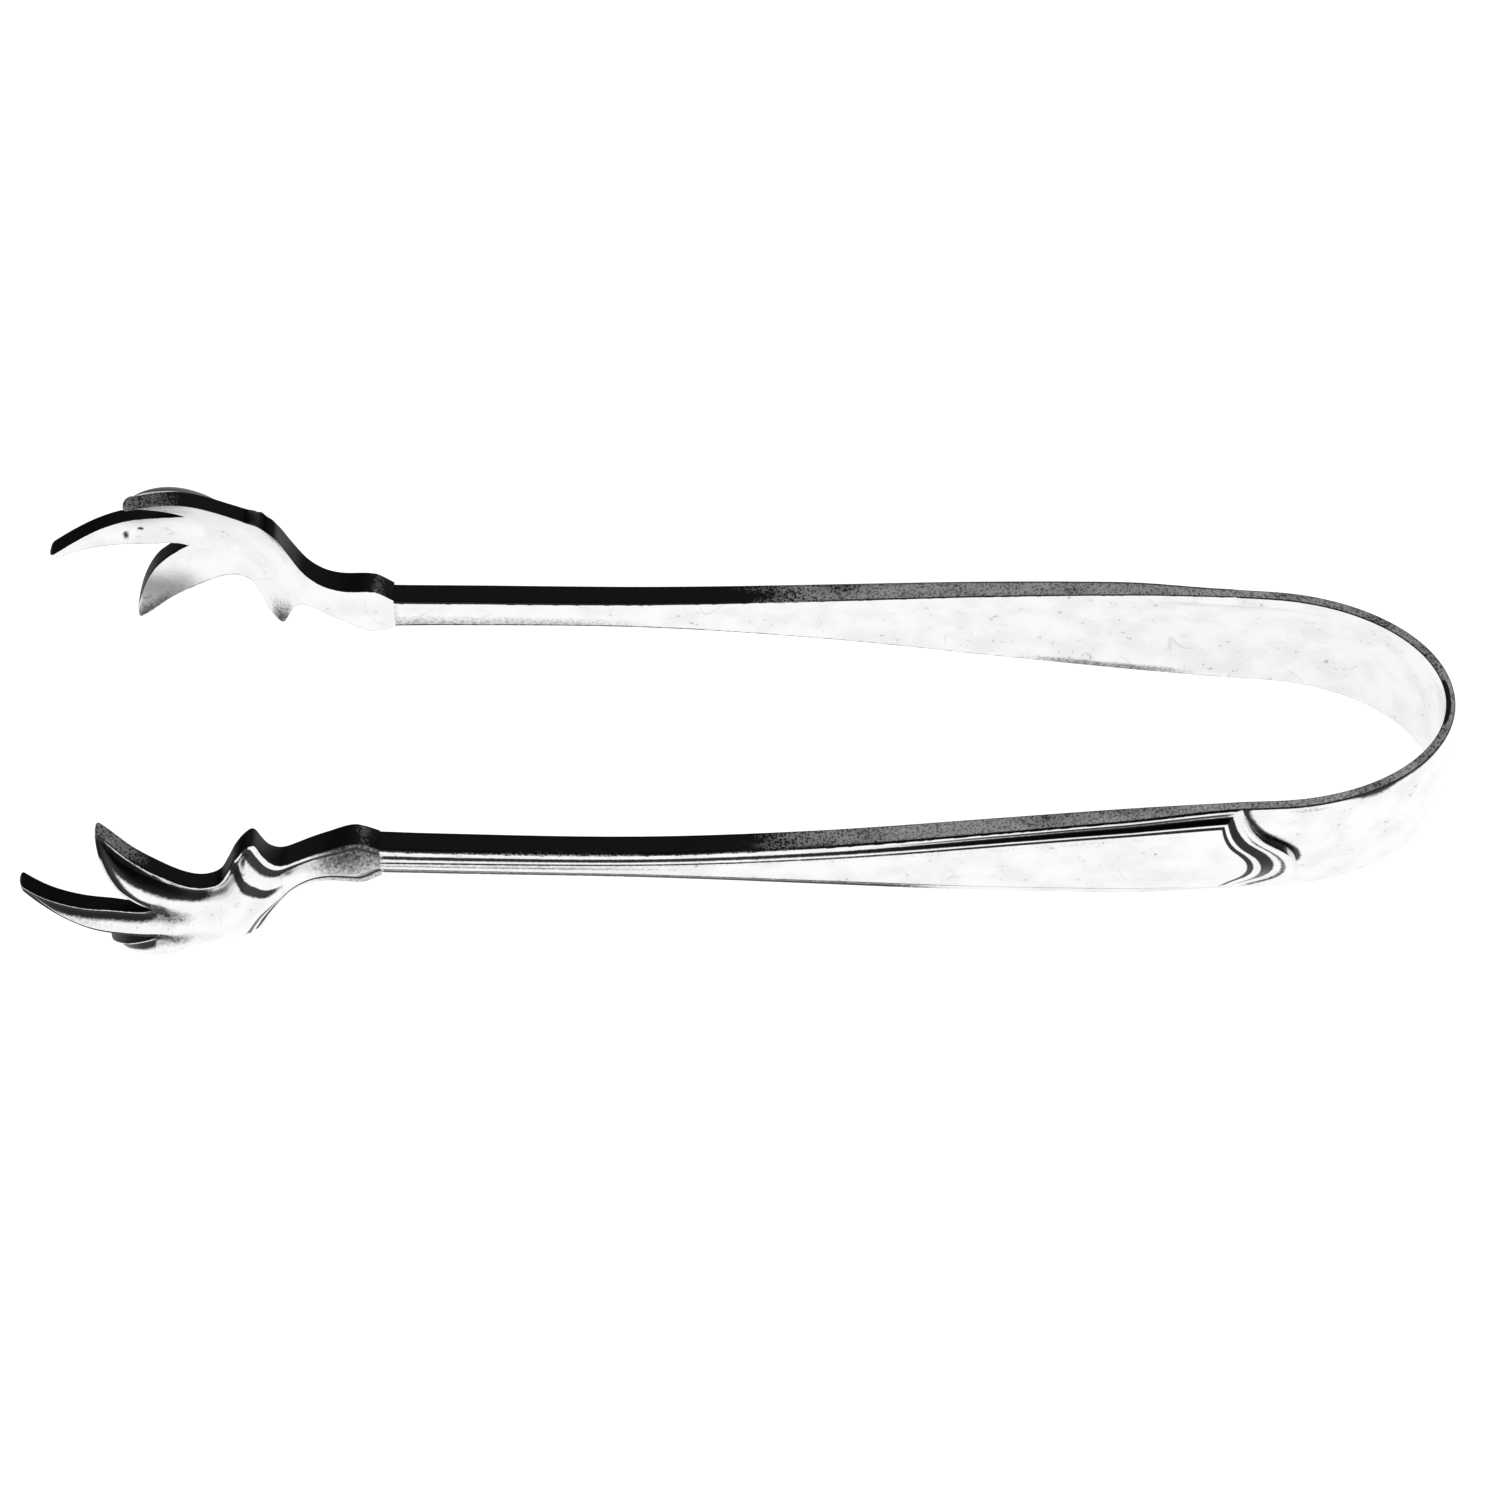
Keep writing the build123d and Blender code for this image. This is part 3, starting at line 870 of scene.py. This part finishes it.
def claw_skin():
    """Skin of the claw: the palm, three talons and the seam."""
    skin = new_skin()

    def section(start, end, borders, low_grows, high_grows, blunt):
        """Skin of a stretch of the claw between borders, with its lowest and highest one rounded off.

        Where a border's rounding grows, it starts sharp at a crotch.
        """
        def along_at(share):
            """Place of a row, with the rows of a talon drawn together towards its tip."""
            if blunt:
                return end - (end - start) * (1 - share) ** row_packing
            return start + (end - start) * share

        def heights(along):
            """Heights of the borders, drawn together to a round tip."""
            found = [share * claw_spread for share in borders(along)]
            if not blunt:
                return found
            radius = outer_tip_radius if end < 1.0 else middle_tip_radius
            round_half = sqrt(2 * radius * (end - along) * claw_length)
            half = min((found[-1] - found[0]) / 2, round_half)
            center = (found[-1] + found[0]) / 2
            return [center - half, center + half]

        def rounding(along, grows):
            """Radius of a border's rounding."""
            eased = edge_rounding
            if grows:
                eased *= min((along - start) / 0.03, 1.0)
            found = heights(along)
            return min(eased, (found[-1] - found[0]) * 0.3) + 1e-5

        def height_at(along, across):
            """Height across the stretch, with columns packed towards each border."""
            found = heights(along)
            found[0] += rounding(along, low_grows)
            found[-1] -= rounding(along, high_grows)
            across *= len(found) - 1
            spot = min(int(across), len(found) - 2)
            eased = (1 - cos((across - spot) * pi)) / 2
            return found[spot] + (found[spot + 1] - found[spot]) * eased

        def depths(along, height):
            """Depth of the inner and the outer face, drawn together to a round tip, and the tarnish and
            painted shade.
            """
            thickness, darkening = claw_relief(along, height / claw_spread)
            full = 1.0
            if blunt:
                left = (end - along) * claw_length
                gone = (along - start) / (end - start)
                thickness *= 1 - tip_taper * (0.4 + 0.6 * abs(height) / claw_spread) * gone ** 2
                full = sqrt(1 - max(1 - left / tip_length, 0.0) ** 2)
            return thickness * (1 - full) / 2, thickness * (1 + full) / 2, darkening

        def face(inside):
            def place(share, across):
                along = along_at(share)
                height = height_at(along, across)
                inner, outer, darkening = depths(along, height)
                share_up = height / claw_spread
                if inside:
                    return claw_point(along, share_up, inner), 0.0, blemish(along, share_up)
                return claw_point(along, share_up, outer), 0.0, darkening
            return place

        def wall(across, grows):
            def place(share, round_share):
                along = along_at(share)
                inner, outer, darkening = depths(along, height_at(along, across))
                inset, depth = rounded_wall(round_share, rounding(along, grows), outer - inner)
                height = heights(along)[-1] - inset if across else heights(along)[0] + inset
                # Painted shade on the walls: darkest in the gaps, and lighter on the outer talons and at the
                # knuckle's corners
                soot_and_shade = 0.9 if grows else 0.8 - 0.5 * ramp(along, 0.55, 0.72)
                soot_and_shade -= 0.4 * patch(along, 0.04, 0.03)
                return claw_point(along, height / claw_spread, outer - depth), 1.0, soot_and_shade
            return place

        rows = round((end - start) * claw_rows)
        columns = claw_columns * (len(borders(start)) - 1)
        bent_sheet(skin, rows, columns, face(False))
        bent_sheet(skin, rows, columns, face(True))
        bent_sheet(skin, rows, claw_wall_columns, wall(0, low_grows))
        bent_sheet(skin, rows, claw_wall_columns, wall(1, high_grows))

    def palm_borders(along):
        edge = palm_edge(along)
        parting = crotch_share / palm_edge(crotch) * edge
        return -edge, -parting, parting, edge

    def middle_borders(along):
        return -middle_edge(along), middle_edge(along)

    def upper_borders(along):
        return gap_edge(along), palm_edge(along)

    def lower_borders(along):
        return -palm_edge(along), -gap_edge(along)

    def seam_wall(across, depth_share):
        height = (2 * across - 1) * (palm_edge(0.0) * claw_spread - edge_rounding)
        thickness = claw_relief(0.0, height / claw_spread)[0]
        return claw_point(0.0, height / claw_spread, thickness * depth_share), 1.0, 0.0

    section(0.0, crotch, palm_borders, low_grows=False, high_grows=False, blunt=False)
    section(crotch, 1.0, middle_borders, low_grows=True, high_grows=True, blunt=True)
    section(crotch, talon_end, upper_borders, low_grows=True, high_grows=False, blunt=True)
    section(crotch, talon_end, lower_borders, low_grows=False, high_grows=True, blunt=True)
    bent_sheet(skin, claw_seam_columns, 1, seam_wall)
    return skin


claw_silver = silver("claw_silver", 0.20)
for side, hand in ((1, "right"), (-1, "left")):
    claw = finished_piece(claw_skin(), f"claw_{hand}", side, claw_silver)
    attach(claw, f"{hand}_side")
    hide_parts(f"{hand}_claw")
